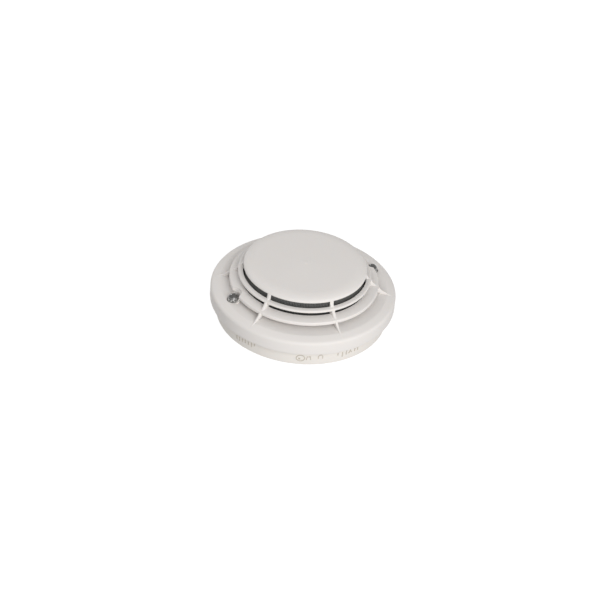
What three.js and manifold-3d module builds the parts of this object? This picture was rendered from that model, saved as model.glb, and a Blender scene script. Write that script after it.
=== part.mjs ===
// Low-profile plug-in heat detector: a ventilated head that twist-locks into a slim wiring base.
// Millimetres, +Z up. The origin is the centre of the base's mounting face, the cap faces +Z.
import * as THREE from "three";
import { mergeVertices } from "three/addons/utils/BufferGeometryUtils.js";
import Module from "manifold-3d";

const wasm = await Module();
wasm.setup();

// Driving dimensions
const headRadius = 51; // the head is 102 mm across
const baseHeight = 9.5; // mounting face to the foot of the head
const headHeight = 24.1; // foot of the head to the top of the cap
const totalHeight = baseHeight + headHeight;
const wall = 1.6; // moulded wall thickness
const gap = 0.3; // assembly clearance between neighbouring pieces
const ribCount = 6;
const rounds = 48; // sides of the large turned shapes
const fineRounds = 12; // sides of the small round pieces
const unlockTurn = 18; // degrees the head turns from locked to free

// Heights of the main levels above the mounting face
const floorTop = 2;
const baseRimTop = baseHeight + 0.9;
const backPlateBottom = baseHeight - 0.5;
const backPlateTop = backPlateBottom + wall;
const flangeBottom = baseRimTop + 0.4;
const flangeTop = flangeBottom + 1.8;
const boardBottom = baseHeight + 4.7;
const boardTop = boardBottom + wall;
const shelfTop = baseHeight + 8.7;
const shelfBottom = shelfTop - wall;
const cageFloorBottom = shelfTop + 1;
const cageFloorTop = cageFloorBottom + 1.2;
const capRimBottom = totalHeight - 2.9;

// Radii of the main circles
const skirtInner = headRadius - wall;
const flangeRadius = skirtInner - 0.5;
const crestRadius = 47.2; // highest circle of the shoulder
const shelfOuter = 45.2; // edge of the flat shelf inside the crest
const shelfInner = 37;
const lowerRing = {
  inner: 35.2,
  outer: 41,
  bottom: shelfTop + 3.1,
  innerTop: shelfTop + 6,
  outerTop: shelfTop + 5,
};
const upperRing = {
  inner: 34.2,
  outer: 36.5,
  bottom: shelfTop + 8.1,
  innerTop: shelfTop + 10,
  outerTop: shelfTop + 9.4,
};
const ribInner = 33.3; // inner edge of the ribs, just outside the cage's screen
const capRadius = 33.75;
const baseOuter = 47.6;
const baseInner = baseOuter - 2;
const spigotOuter = 43.3;
const spigotInner = spigotOuter - wall;
const lampRadius = 42.1; // lamp axes, half-way between two ribs on each side
const lampAngles = [30, 210];
const lampBore = 3.5;
const lampCollar = lampBore + 0.8;
const lensRise = 3.9; // height of a lens's dome over the shelf

const ivory = { color: 0xdedbd2, roughness: 0.42, metalness: 0 };
const black = { color: 0x17181a, roughness: 0.55, metalness: 0 };
const steel = { color: 0xb4b6b8, roughness: 0.32, metalness: 1 };
const bronze = { color: 0xc9a25c, roughness: 0.35, metalness: 1 };
const boardGreen = { color: 0x1f5a38, roughness: 0.45, metalness: 0 };
const clear = { color: 0xc9ced0, roughness: 0.08, metalness: 0 };
const smoky = { color: 0x4a4844, roughness: 0.08, metalness: 0 };
const mesh = { color: 0x5c5e5c, roughness: 0.5, metalness: 1 };
const redDiode = { color: 0xb3261e, roughness: 0.2, metalness: 0 };
const glassBead = { color: 0x8c4a24, roughness: 0.15, metalness: 0 };
const dialWhite = { color: 0xe8e6df, roughness: 0.4, metalness: 0 };

const turn = (degrees) => (degrees * Math.PI) / 180;

// Geometry to solid and back

function solidOf(geometry) {
  const bare = geometry.clone();
  bare.deleteAttribute("normal");
  bare.deleteAttribute("uv");
  const merged = mergeVertices(bare, 1e-4);
  const vertProperties = new Float32Array(merged.attributes.position.array);
  const triVerts = new Uint32Array(merged.index.array);
  return new wasm.Manifold(new wasm.Mesh({ numProp: 3, vertProperties, triVerts }));
}

function geometryOf(solid) {
  const mesh = solid.getMesh();
  const positions = new THREE.BufferAttribute(new Float32Array(mesh.vertProperties), 3);
  const geometry = new THREE.BufferGeometry().setAttribute("position", positions);
  geometry.setIndex(new THREE.BufferAttribute(new Uint32Array(mesh.triVerts), 1));
  geometry.computeVertexNormals();
  return geometry;
}

const join = (first, ...others) => others.reduce((sum, solid) => sum.add(solid), first);
const cut = (first, ...others) => others.reduce((rest, solid) => rest.subtract(solid), first);

// Shapes

// Turns a closed outline of [radius, height] points about Z.
function turned(outline, sides = rounds) {
  const area = outline.reduce((sum, [r, z], i) => {
    const [nextR, nextZ] = outline[(i + 1) % outline.length];
    return sum + r * nextZ - nextR * z;
  }, 0);
  const ordered = area > 0 ? outline : [...outline].reverse();
  const points = [...ordered, ordered[0]].map(([r, z]) => new THREE.Vector2(r, z));
  return solidOf(new THREE.LatheGeometry(points, sides).rotateX(Math.PI / 2));
}

const disc = (radius, bottom, top, sides = rounds) =>
  turned([[0, bottom], [radius, bottom], [radius, top], [0, top]], sides);

const tube = (inner, outer, bottom, top, sides = rounds) =>
  turned([[inner, bottom], [outer, bottom], [outer, top], [inner, top]], sides);

// A sector of a flat ring between two angles.
function arcBlock(inner, outer, bottom, top, from, to) {
  const shape = new THREE.Shape();
  shape.absarc(0, 0, outer, turn(from), turn(to), false);
  shape.absarc(0, 0, inner, turn(to), turn(from), true);
  const depth = top - bottom;
  const curveSegments = Math.ceil((to - from) / 6);
  const geometry = new THREE.ExtrudeGeometry(shape, { depth, bevelEnabled: false, curveSegments });
  return solidOf(geometry.translate(0, 0, bottom));
}

function block(width, depth, bottom, top) {
  const geometry = new THREE.BoxGeometry(width, depth, top - bottom);
  return solidOf(geometry.translate(0, 0, (bottom + top) / 2));
}

// Moves a solid made on the axis out to a radius and an angle, turned with that angle.
const placed = (solid, radius, angle) => solid.translate([radius, 0, 0]).rotate([0, 0, angle]);

const peg = (radius, bottom, top, distance, angle, sides = fineRounds) =>
  placed(disc(radius, bottom, top, sides), distance, angle);

// Points on an ellipse about [r, z], from one angle to another.
function arcPoints([r, z], across, up, from, to, steps) {
  return Array.from({ length: steps + 1 }, (_, i) => {
    const angle = turn(from + ((to - from) * i) / steps);
    return [r + across * Math.cos(angle), z + up * Math.sin(angle)];
  });
}

const detector = new THREE.Group();
const baseGroup = new THREE.Group();
const headGroup = new THREE.Group();
detector.add(baseGroup, headGroup);

function addPiece(group, name, solid, finish) {
  const mesh = new THREE.Mesh(geometryOf(solid), new THREE.MeshStandardMaterial(finish));
  mesh.name = name;
  group.add(mesh);
}

// Wiring base

const terminalAngles = [45, 135, 225, 315];
const terminalRadius = 33;
const screwOffset = -18; // degrees from the terminal's middle to its screw
const bladeOffset = -4; // degrees from the terminal's middle to the head's blade at rest
const stripTop = 4.3;
const stripBottom = 3.5;
const lugAngles = [90, 210, 330];
const lugHalfWidth = 7;
const lugTop = 5.9;
const stopGap = 1; // degrees between a lug's side and a stop
const stopWidth = 2; // degrees
const shankRadius = 1.5;
const shankHole = shankRadius + gap;
const cableEntry = 20;
const slotWidth = 4.6;
const slotLength = 14;
const slotRadius = 30;

function fixingSlot(side) {
  const straight = slotLength - slotWidth;
  const ends = [-straight / 2, straight / 2].map((x) =>
    disc(slotWidth / 2, -1, floorTop + 1, fineRounds).translate([x, 0, 0]),
  );
  const slot = join(block(straight, slotWidth, -1, floorTop + 1), ...ends);
  return slot.translate([side * slotRadius, 0, 0]);
}

function mountingBase() {
  const outline = [
    [cableEntry, 0],
    [baseOuter - 0.4, 0],
    [baseOuter, baseHeight - 1],
    [baseOuter, baseRimTop],
    [baseInner, baseRimTop],
    [baseInner, floorTop],
    [cableEntry, floorTop],
  ];
  const ledges = lugAngles.map((angle) =>
    arcBlock(spigotOuter + 0.5, baseInner + 0.5, lugTop + gap, 7.8, angle - 10, angle + 10),
  );
  const reach = lugHalfWidth + stopGap;
  const stop = (top, from) => arcBlock(spigotOuter + 0.6, baseInner + 0.5, 1, top, from, from + stopWidth);
  const stops = lugAngles.flatMap((angle) => [
    stop(lugTop + 1, angle - reach - stopWidth),
    stop(lugTop, angle + reach + unlockTurn),
  ]);
  const seats = terminalAngles.map((angle) =>
    arcBlock(29.5, 36.5, 1, stripBottom - gap, angle - 25, angle + 18),
  );
  const body = join(turned(outline), ...ledges, ...stops, ...seats);
  const screwHoles = terminalAngles.map((angle) =>
    peg(shankHole, -1, stripTop, terminalRadius, angle + screwOffset),
  );
  return cut(body, ...screwHoles, fixingSlot(1), fixingSlot(-1));
}

addPiece(baseGroup, "mounting_base", mountingBase(), ivory);

terminalAngles.forEach((angle, index) => {
  const number = index + 1;
  const screwAngle = angle + screwOffset;
  const hole = peg(shankHole, 0, 8, terminalRadius, screwAngle);
  const strip = arcBlock(30.5, 35.5, stripBottom, stripTop, angle - 23.5, angle + 17);
  addPiece(baseGroup, `terminal_strip_${number}`, cut(strip, hole), bronze);

  const plate = placed(block(6.4, 6.4, stripTop + gap, stripTop + gap + 1), terminalRadius, screwAngle);
  addPiece(baseGroup, `clamp_plate_${number}`, cut(plate, hole), steel);

  const headBottom = stripTop + 2 * gap + 1;
  const head = peg(3, headBottom, headBottom + 1.6, terminalRadius, screwAngle);
  const shank = peg(shankRadius, 0.4, headBottom, terminalRadius, screwAngle);
  const slot = placed(block(7, 0.8, headBottom + 0.9, headBottom + 2), terminalRadius, screwAngle);
  addPiece(baseGroup, `terminal_screw_${number}`, cut(head.add(shank), slot), steel);
});

// Front cover: cap, two louvre rings and the outer shell, held together by radial ribs

const shoulderRadius = headRadius - crestRadius;
const shoulderCentre = [crestRadius, shelfTop + 0.3 - shoulderRadius];

function outerShell() {
  const outside = arcPoints(shoulderCentre, shoulderRadius, shoulderRadius, 0, 90, 5);
  const innerRadius = shoulderRadius - wall;
  const inside = arcPoints(shoulderCentre, innerRadius, innerRadius, 90, 0, 3);
  return turned([
    [skirtInner, baseHeight],
    [headRadius - 0.3, baseHeight],
    [headRadius, baseHeight + 0.4],
    ...outside,
    [shelfOuter, shelfTop],
    [shelfInner, shelfTop],
    [shelfInner, shelfBottom],
    [shelfOuter, shelfBottom],
    ...inside,
  ]);
}

function cap() {
  const edge = 7; // width of the soft rounding round the cap
  const rise = totalHeight - capRimBottom - 0.5;
  const rounding = arcPoints([capRadius - edge, capRimBottom + 0.5], edge, rise, 0, 90, 5);
  return turned([
    [0, capRimBottom + 0.4],
    [capRadius - 2, capRimBottom + 0.4],
    [capRadius - 1.6, capRimBottom],
    [capRadius - 0.1, capRimBottom],
    ...rounding,
    [0, totalHeight],
  ]);
}

function louvreRing({ inner, outer, bottom, innerTop, outerTop }) {
  return turned([
    [inner + 0.2, bottom],
    [outer - 0.2, bottom],
    [outer, bottom + 0.3],
    [outer, outerTop - 0.3],
    [outer - 0.4, outerTop],
    [inner, innerTop],
    [inner, innerTop - 0.4],
  ]);
}

// A rib's outline in its own radial plane, drawn as [radius, height]. Its outer edge hangs in three
// hollow curves: from the cap to the upper ring, on to the lower ring and down to the crest.
function rib() {
  const shape = new THREE.Shape();
  const upperEdge = [upperRing.outer + 0.1, upperRing.bottom + 0.9];
  const lowerEdge = [lowerRing.outer + 0.1, lowerRing.outerTop - 0.5];
  shape.moveTo(capRadius - 0.1, capRimBottom + 0.6);
  shape.quadraticCurveTo(capRadius + 0.4, upperRing.outerTop, ...upperEdge);
  shape.quadraticCurveTo(upperRing.outer + 1.2, upperRing.bottom - 1.9, ...lowerEdge);
  shape.quadraticCurveTo(lowerRing.outer + 1.8, shelfTop + 1.6, crestRadius, shelfTop + 0.3);
  shape.lineTo(shelfOuter, shelfTop - 0.6);
  shape.lineTo(shelfInner + 0.4, shelfTop - 0.6);
  shape.lineTo(shelfInner + 0.4, cageFloorTop);
  shape.lineTo(ribInner, lowerRing.bottom + 0.3);
  shape.lineTo(ribInner, capRimBottom + 0.6);
  const thickness = 1.8;
  const plate = new THREE.ExtrudeGeometry(shape, {
    depth: thickness,
    bevelEnabled: false,
    curveSegments: 3,
  });
  return solidOf(plate.translate(0, 0, -thickness / 2).rotateX(Math.PI / 2));
}

// The wall of a lamp recess: flush with the shelf on its outer side, rising to the lower ring inside.
function lampWall(angle) {
  const full = disc(lampCollar, shelfBottom, lowerRing.outerTop - 0.4, 20);
  const slope = 45;
  const above = block(20, 20, 0, 10).rotate([0, slope, 0]).translate([0, 0, shelfTop]);
  return placed(cut(full, above), lampRadius, angle);
}

function frontCover() {
  const oneRib = rib();
  const ribs = Array.from({ length: ribCount }, (_, i) => oneRib.rotate([0, 0, (360 / ribCount) * i]));
  const louvres = [louvreRing(lowerRing), louvreRing(upperRing)];
  const hookAngles = [0, 90, 180, 270];
  const hooks = hookAngles.flatMap((angle) => [
    arcBlock(48.2, skirtInner + 0.4, baseHeight + 0.2, flangeBottom - gap, angle - 6, angle + 6),
    arcBlock(48.2, skirtInner + 0.4, flangeTop + gap, flangeTop + gap + 0.8, angle - 6, angle + 6),
  ]);
  const notches = lampAngles.map((angle) =>
    peg(lampCollar, shelfTop + 0.5, totalHeight, lampRadius, angle, 20),
  );
  const body = cut(join(outerShell(), cap(), ...louvres, ...ribs, ...hooks), ...notches);
  const lampWalls = lampAngles.map(lampWall);
  const bores = lampAngles.map((angle) => peg(lampBore, boardTop, totalHeight, lampRadius, angle, 20));
  return cut(join(body, ...lampWalls), ...bores);
}

addPiece(headGroup, "front_cover", frontCover(), ivory);

// Lower housing: the back plate with its locking spigot

const boardScrewAngles = [0, 120, 240];
const boardScrewRadius = 33;
const bladeHeight = [4.6, boardBottom - gap];
const dialPlaces = [[-8, -12], [8, -12]];
const dialRadius = 3.4;

function lowerHousing() {
  const body = turned([
    [0, backPlateBottom],
    [spigotInner, backPlateBottom],
    [spigotInner, 4.2],
    [spigotOuter, 4.2],
    [spigotOuter, flangeBottom],
    [flangeRadius, flangeBottom],
    [flangeRadius, flangeTop],
    [spigotInner, flangeTop],
    [spigotInner, backPlateTop],
    [0, backPlateTop],
  ]);
  const lugs = lugAngles.map((angle) =>
    arcBlock(spigotOuter - 0.8, baseInner - 0.5, 4.2, lugTop, angle - lugHalfWidth, angle + lugHalfWidth),
  );
  const bosses = boardScrewAngles.map((angle) =>
    peg(2.6, backPlateTop - 0.5, boardBottom - gap, boardScrewRadius, angle),
  );
  const screwHoles = boardScrewAngles.map((angle) =>
    peg(1.3, backPlateTop - 0.6, boardTop, boardScrewRadius, angle),
  );
  const bladeSlots = terminalAngles.map((angle) =>
    placed(block(1.8, 5.8, backPlateBottom - 1, backPlateTop + 1), terminalRadius, angle + bladeOffset),
  );
  const dialHoles = dialPlaces.map(([x, y]) =>
    disc(dialRadius + gap, backPlateBottom - 1, backPlateTop + 1, 20).translate([x, y, 0]),
  );
  return cut(join(body, ...lugs, ...bosses), ...screwHoles, ...bladeSlots, ...dialHoles);
}

addPiece(headGroup, "lower_housing", lowerHousing(), ivory);

terminalAngles.forEach((angle, index) => {
  const upright = block(1, 5, ...bladeHeight);
  const foot = block(4, 5, bladeHeight[0], bladeHeight[0] + 0.8);
  const blade = placed(upright.add(foot), terminalRadius, angle + bladeOffset);
  addPiece(headGroup, `contact_blade_${index + 1}`, blade, bronze);
});

boardScrewAngles.forEach((angle, index) => {
  const head = peg(2.2, boardTop + gap, boardTop + gap + 1.4, boardScrewRadius, angle, 12);
  const shank = peg(1, backPlateTop, boardTop + gap, boardScrewRadius, angle, 12);
  const slot = placed(block(5, 0.6, boardTop + gap + 0.8, boardTop + 3), boardScrewRadius, angle);
  addPiece(headGroup, `board_screw_${index + 1}`, cut(head.add(shank), slot), steel);
});

// Address switches on the back of the circuit board, set with a screwdriver from behind

dialPlaces.forEach(([x, y], index) => {
  const number = index + 1;
  const body = block(9, 9, backPlateTop + gap, boardBottom - gap).translate([x, y, 0]);
  addPiece(headGroup, `address_switch_${number}`, body, black);

  const dial = disc(dialRadius, backPlateBottom + 0.2, backPlateTop, 20);
  const pointer = block(5, 1, backPlateBottom - 1, backPlateBottom + 0.9);
  addPiece(headGroup, `address_dial_${number}`, cut(dial, pointer).translate([x, y, 0]), dialWhite);
});

// Circuit board and what stands on it

const boardRadius = 46.4;
const standing = boardTop + gap; // foot of every component

function circuitBoard() {
  const holes = boardScrewAngles.map((angle) =>
    peg(1.3, boardBottom - 1, boardTop + 1, boardScrewRadius, angle, 12),
  );
  return cut(disc(boardRadius, boardBottom, boardTop), ...holes);
}

addPiece(headGroup, "circuit_board", circuitBoard(), boardGreen);

lampAngles.forEach((angle, index) => {
  const number = index + 1;
  const diodeTop = standing + 1.6;
  const diodeOutline = [
    [0, standing],
    [1.5, standing],
    [1.5, diodeTop - 0.7],
    [1.1, diodeTop - 0.2],
    [0, diodeTop],
  ];
  addPiece(headGroup, `lamp_diode_${number}`, placed(turned(diodeOutline, 12), lampRadius, angle), redDiode);

  const lensRadius = lampBore - gap;
  const lensBottom = diodeTop + gap;
  const lens = turned([
    [0, lensBottom],
    [lensRadius, lensBottom],
    ...arcPoints([0, shelfTop + 0.1], lensRadius, lensRise, 0, 90, 5),
  ], 20);
  addPiece(headGroup, `lamp_lens_${number}`, placed(lens, lampRadius, angle), smoky);
});

const controller = block(9, 9, standing, standing + 1.4).translate([17, 10, 0]);
addPiece(headGroup, "microcontroller", controller, black);

const suppressor = block(4.6, 3.6, standing, standing + 2.3).translate([-14, 18, 0]);
addPiece(headGroup, "surge_suppressor", suppressor, black);

const capacitor = disc(2.6, standing, standing + 2.8, fineRounds).translate([4, -20, 0]);
addPiece(headGroup, "reservoir_capacitor", capacitor, steel);

function reedSwitch() {
  const glass = new THREE.CapsuleGeometry(1.1, 10, 3, 12).rotateZ(Math.PI / 2);
  return solidOf(glass.translate(-18, -10, standing + 1.1));
}

addPiece(headGroup, "test_reed_switch", reedSwitch(), clear);

// Sensing chamber: a black slotted cage round the two temperature sensors

const screenOuter = 32.6;
const screenInner = 32.3;
const cageOuter = 32;
const cageInner = cageOuter - 1.4;
const cageTop = capRimBottom - gap - 0.1;
const windowCount = 24;
const holderRadius = 6;
const holderTop = baseHeight + 13;

function sensorCage() {
  const floor = tube(holderRadius + gap, shelfInner - 0.6, cageFloorBottom, cageFloorTop);
  const ring = tube(cageInner, cageOuter, cageFloorTop - 0.2, cageTop);
  const feet = [60, 180, 300].map((angle) => peg(1.5, standing, cageFloorBottom + 0.3, 28, angle, 12));
  const windowBottom = shelfTop + 3.8;
  const window = block(6, 6.4, windowBottom, cageTop - 0.8);
  const windows = Array.from({ length: windowCount }, (_, i) =>
    placed(window, cageInner, (360 / windowCount) * (i + 0.5)),
  );
  return join(cut(ring, ...windows), floor, ...feet);
}

addPiece(headGroup, "sensor_cage", sensorCage(), black);

// A woven wire screen round the cage keeps insects out
const screen = tube(screenInner, screenOuter, cageFloorTop + gap, cageTop);
addPiece(headGroup, "insect_screen", screen, mesh);

const holderOutline = [
  [0, standing],
  [holderRadius, standing],
  [holderRadius, holderTop - 1.7],
  [holderRadius - 1.5, holderTop],
  [0, holderTop],
];
addPiece(headGroup, "sensor_holder", turned(holderOutline, 24), ivory);

// A sensor is a glass bead on two stiff leads.
function thermistor(x) {
  const beadCentre = holderTop + 5.9;
  const bead = new THREE.SphereGeometry(1.3, 10, 6).rotateX(Math.PI / 2).translate(0, 0, beadCentre);
  const leads = [-0.7, 0.7].map((y) =>
    disc(0.3, holderTop + gap, beadCentre, 6).translate([0, y, 0]),
  );
  return join(solidOf(bead), ...leads).translate([x, 0, 0]);
}

addPiece(headGroup, "thermistor_1", thermistor(-2.4), glassBead);
addPiece(headGroup, "thermistor_2", thermistor(2.4), glassBead);

export default detector;
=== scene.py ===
import math

import bmesh
import bpy
from mathutils import Matrix, Vector


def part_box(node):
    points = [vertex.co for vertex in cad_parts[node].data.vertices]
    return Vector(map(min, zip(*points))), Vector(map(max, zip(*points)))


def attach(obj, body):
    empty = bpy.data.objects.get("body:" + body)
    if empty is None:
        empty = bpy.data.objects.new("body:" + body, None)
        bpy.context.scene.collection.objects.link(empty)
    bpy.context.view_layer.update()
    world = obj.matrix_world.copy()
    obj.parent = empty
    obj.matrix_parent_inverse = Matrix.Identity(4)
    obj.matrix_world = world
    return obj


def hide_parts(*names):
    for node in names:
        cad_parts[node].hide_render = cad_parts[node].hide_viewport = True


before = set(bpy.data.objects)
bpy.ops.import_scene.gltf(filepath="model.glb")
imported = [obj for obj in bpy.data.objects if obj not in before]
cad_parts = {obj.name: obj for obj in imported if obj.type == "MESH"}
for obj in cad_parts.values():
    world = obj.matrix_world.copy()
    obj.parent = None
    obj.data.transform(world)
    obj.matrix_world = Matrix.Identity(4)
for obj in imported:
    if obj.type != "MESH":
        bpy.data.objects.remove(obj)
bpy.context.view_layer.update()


# ----------
# The studio: a white table that glows as a light table does, a broad soft light in front and a little to
# the right, a weak one behind on the left, and a long-lens camera that looks down on the detector.
MM = 0.001  # the file works in millimetres
HEAD_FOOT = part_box("front_cover")[0].z / MM


class Wire:
    """A shader socket that takes part in sums as a number does."""

    def __init__(self, finish, socket):
        self.finish = finish
        self.socket = socket

    def math(self, operation, first, second):
        return self.finish.node("ShaderNodeMath", {"operation": operation}, {0: first, 1: second})[0]

    def __add__(self, other):
        return self.math("ADD", self, other)

    __radd__ = __add__

    def __mul__(self, other):
        return self.math("MULTIPLY", self, other)

    __rmul__ = __mul__

    def __sub__(self, other):
        return self.math("SUBTRACT", self, other)

    def __rsub__(self, other):
        return self.math("SUBTRACT", other, self)


class Finish:
    """A material under construction: constants go on the shader, patterns are wired to it."""

    def __init__(self, name, constants):
        self.material = bpy.data.materials.new(name)
        self.material.use_nodes = True
        self.tree = self.material.node_tree
        self.shader = self.tree.nodes["Principled BSDF"]
        for socket, value in constants.items():
            self.shader.inputs[socket].default_value = value
        self.place = self.node("ShaderNodeTexCoord")["Object"]

    def node(self, kind, settings=None, values=None):
        made = self.tree.nodes.new(kind)
        for setting, value in (settings or {}).items():
            if setting == "stops":
                self.set_stops(made.color_ramp, value)
            else:
                setattr(made, setting, value)
        for socket, value in (values or {}).items():
            if isinstance(value, Wire):
                self.tree.links.new(value.socket, made.inputs[socket])
            else:
                made.inputs[socket].default_value = value
        outputs = [*enumerate(made.outputs), *made.outputs.items()]
        return {key: Wire(self, out) for key, out in outputs}

    @staticmethod
    def set_stops(ramp, stops):
        while len(ramp.elements) < len(stops):
            ramp.elements.new(0.5)
        for element, (position, colour) in zip(ramp.elements, stops):
            element.position = position
            element.color = colour

    def noise(self, cell, detail=2.0, roughness=0.5):
        """Smooth noise from 0 to 1 with cells of the given size in millimetres."""
        values = {"Vector": self.place, "Scale": 1 / (cell * MM), "Detail": detail, "Roughness": roughness}
        return self.node("ShaderNodeTexNoise", None, values)[0]

    def blend(self, amount, first, second):
        """One colour where the amount is 0 and another where it is 1."""
        values = {0: amount, 6: (*first, 1), 7: (*second, 1)}
        return self.node("ShaderNodeMix", {"data_type": "RGBA"}, values)[2]

    def wear(self, colour=None, roughness=None, height=None, depth=0.01):
        """Wires patterns to the shader. The height pattern's full range is depth millimetres."""
        if colour:
            self.tree.links.new(colour.socket, self.shader.inputs["Base Color"])
        if roughness:
            self.tree.links.new(roughness.socket, self.shader.inputs["Roughness"])
        if height:
            bump = {"Distance": depth * MM, "Height": height}
            normal = self.node("ShaderNodeBump", None, bump)["Normal"]
            self.tree.links.new(normal.socket, self.shader.inputs["Normal"])
        return self.material


def in_scene(name, contents):
    made = bpy.data.objects.new(name, contents)
    bpy.context.scene.collection.objects.link(made)
    return made


def add_floor():
    """A table just under the base, clear from below so that the ceiling side can be looked at."""
    mesh = bpy.data.meshes.new("floor")
    sheet = bmesh.new()
    place = Matrix.Translation((0, 0, -0.02 * MM))
    bmesh.ops.create_circle(sheet, cap_ends=True, segments=64, radius=6.0, matrix=place)
    sheet.to_mesh(mesh)
    sheet.free()
    floor = in_scene("floor", mesh)
    finish = Finish("light_table", {"Base Color": (0.25, 0.25, 0.25, 1), "Roughness": 0.9,
                                    "Specular IOR Level": 0.1, "Emission Color": (1, 1, 1, 1),
                                    "Emission Strength": 0.88})
    below = finish.node("ShaderNodeNewGeometry")["Backfacing"]
    glow = Wire(finish, finish.shader.outputs["BSDF"])
    clear = finish.node("ShaderNodeBsdfTransparent")["BSDF"]
    choice = finish.node("ShaderNodeMixShader", None, {0: below, 1: glow, 2: clear})[0]
    finish.tree.links.new(choice.socket, finish.tree.nodes["Material Output"].inputs["Surface"])
    mesh.materials.append(finish.material)
    floor.visible_diffuse = False  # the table's own glow doesn't light the detector


def add_softbox(name, azimuth, elevation, distance, size, power):
    lamp = bpy.data.lights.new(name, "AREA")
    lamp.shape = "DISK"
    lamp.size = size
    lamp.energy = power
    holder = in_scene(name, lamp)
    across, up = math.radians(azimuth), math.radians(elevation)
    away = Vector((math.sin(across) * math.cos(up), -math.cos(across) * math.cos(up), math.sin(up)))
    holder.location = away * distance
    holder.rotation_euler = (-away).to_track_quat("-Z", "Y").to_euler()


def add_world(ambient):
    """Soft light from all round, with a white backdrop behind everything."""
    world = bpy.data.worlds.new("studio")
    bpy.context.scene.world = world
    world.use_nodes = True
    nodes, links = world.node_tree.nodes, world.node_tree.links
    nodes.clear()
    light = nodes.new("ShaderNodeBackground")
    light.inputs["Strength"].default_value = ambient
    backdrop = nodes.new("ShaderNodeBackground")
    for background in (light, backdrop):
        background.inputs["Color"].default_value = (1, 1, 1, 1)
    seen = nodes.new("ShaderNodeLightPath")
    choice = nodes.new("ShaderNodeMixShader")
    output = nodes.new("ShaderNodeOutputWorld")
    links.new(seen.outputs["Is Camera Ray"], choice.inputs[0])
    links.new(light.outputs[0], choice.inputs[1])
    links.new(backdrop.outputs[0], choice.inputs[2])
    links.new(choice.outputs[0], output.inputs["Surface"])


def add_camera():
    distance = 1.0
    elevation = math.radians(36.56)
    roll = math.radians(-5.41)  # the detector leans a little clockwise in the picture
    azimuth = math.radians(1.9)
    offset = Vector((1.30 * MM, 1.35 * MM))
    right = Vector((math.cos(azimuth), math.sin(azimuth), 0))
    back = Vector((-math.sin(azimuth), math.cos(azimuth), 0))
    ahead = back * math.cos(elevation) - Vector((0, 0, math.sin(elevation)))
    upward = back * math.sin(elevation) + Vector((0, 0, math.cos(elevation)))
    side = right * math.cos(roll) - upward * math.sin(roll)
    top = right * math.sin(roll) + upward * math.cos(roll)
    target = Vector((0, 0, HEAD_FOOT * MM))
    place = target - ahead * distance - side * offset.x - top * offset.y
    lens = bpy.data.cameras.new("camera")
    lens.sensor_width = 36
    lens.lens = 108.8
    camera = in_scene("camera", lens)
    turn = Matrix((side, top, -ahead)).transposed()
    camera.matrix_world = Matrix.Translation(place) @ turn.to_4x4()
    bpy.context.scene.camera = camera


add_floor()
add_softbox("front_softbox", 23.5, 28, 0.9, 0.7, 5.5)
add_softbox("left_rim", -140, 25, 1.0, 0.5, 2.4)
add_world(0.465)
add_camera()
bpy.context.scene.view_settings.view_transform = "Standard"


# ----------
# The wiring base: one injection moulding in ivory plastic. A round floor with the cable entry and two
# slots for the ceiling screws, a drafted side wall, three ledges for the head's lugs, stops for its turn,
# and raised assembly marks on the outside of the wall.
def ivory_moulding(name, light, dark):
    """Satin ivory plastic with the fine grain of a spark-eroded mould and faint flow clouds."""
    finish = Finish(name, {"IOR": 1.5, "Subsurface Weight": 0.06, "Subsurface Scale": 0.6 * MM,
                           "Subsurface Radius": (1.0, 0.8, 0.6), "Specular IOR Level": 0.16})
    clouds = finish.noise(22, 3)
    grain = finish.noise(0.32, 2)
    handling = finish.noise(5, 4, 0.6)
    colour = finish.blend(clouds, light, dark)
    roughness = 0.46 + 0.1 * handling + 0.05 * grain
    return finish.wear(colour, roughness, grain, 0.012)


def softened(corners, steps=5):
    """Corners as (radius, height) or (radius, height, fillet) in millimetres, with the fillets drawn in."""
    outline = []
    for i, corner in enumerate(corners):
        here = Vector(corner[:2])
        if len(corner) == 2:
            outline.append(here)
            continue
        before = (Vector(corners[i - 1][:2]) - here).normalized()
        after = (Vector(corners[(i + 1) % len(corners)][:2]) - here).normalized()
        half = before.angle(after) / 2
        centre = here + (before + after).normalized() * corner[2] / math.sin(half)
        start = here + before * corner[2] / math.tan(half) - centre
        end = here + after * corner[2] / math.tan(half) - centre
        sweep = start.angle_signed(end)
        for k in range(steps + 1):
            outline.append(centre + Matrix.Rotation(-sweep * k / steps, 2) @ start)
    return outline


def add_piece(name, solid, finish=None):
    """Puts a bmesh drawn in millimetres into the scene, welded and facing outwards."""
    bmesh.ops.remove_doubles(solid, verts=solid.verts, dist=1e-4)
    bmesh.ops.recalc_face_normals(solid, faces=solid.faces)
    bmesh.ops.scale(solid, vec=(MM, MM, MM), verts=solid.verts)
    mesh = bpy.data.meshes.new(name)
    solid.to_mesh(mesh)
    solid.free()
    piece = in_scene(name, mesh)
    if finish:
        mesh.materials.append(finish)
    shade(piece)
    return piece


CREASE = math.radians(32)


def shade(piece):
    """Smooth shading, kept crisp where two faces meet at more than the crease angle."""
    solid = bmesh.new()
    solid.from_mesh(piece.data)
    for face in solid.faces:
        face.smooth = True
    for edge in solid.edges:
        edge.smooth = len(edge.link_faces) == 2 and edge.calc_face_angle(0) < CREASE
    solid.to_mesh(piece.data)
    solid.free()


def banded(solid, loop, following):
    """Faces between two closed loops with the same number of points."""
    for i in range(len(loop)):
        j = (i + 1) % len(loop)
        solid.faces.new((loop[i], following[i], following[j], loop[j]))


def turned(corners, sides=192, steps=5):
    """A bmesh of a closed outline turned about Z."""
    solid = bmesh.new()
    section = softened(corners, steps)
    rings = []
    for k in range(sides):
        angle = math.tau * k / sides
        across, along = math.cos(angle), math.sin(angle)
        rings.append([solid.verts.new((r * across, r * along, z)) for r, z in section])
    for ring, following in zip(rings, rings[1:] + rings[:1]):
        banded(solid, ring, following)
    return solid


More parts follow.
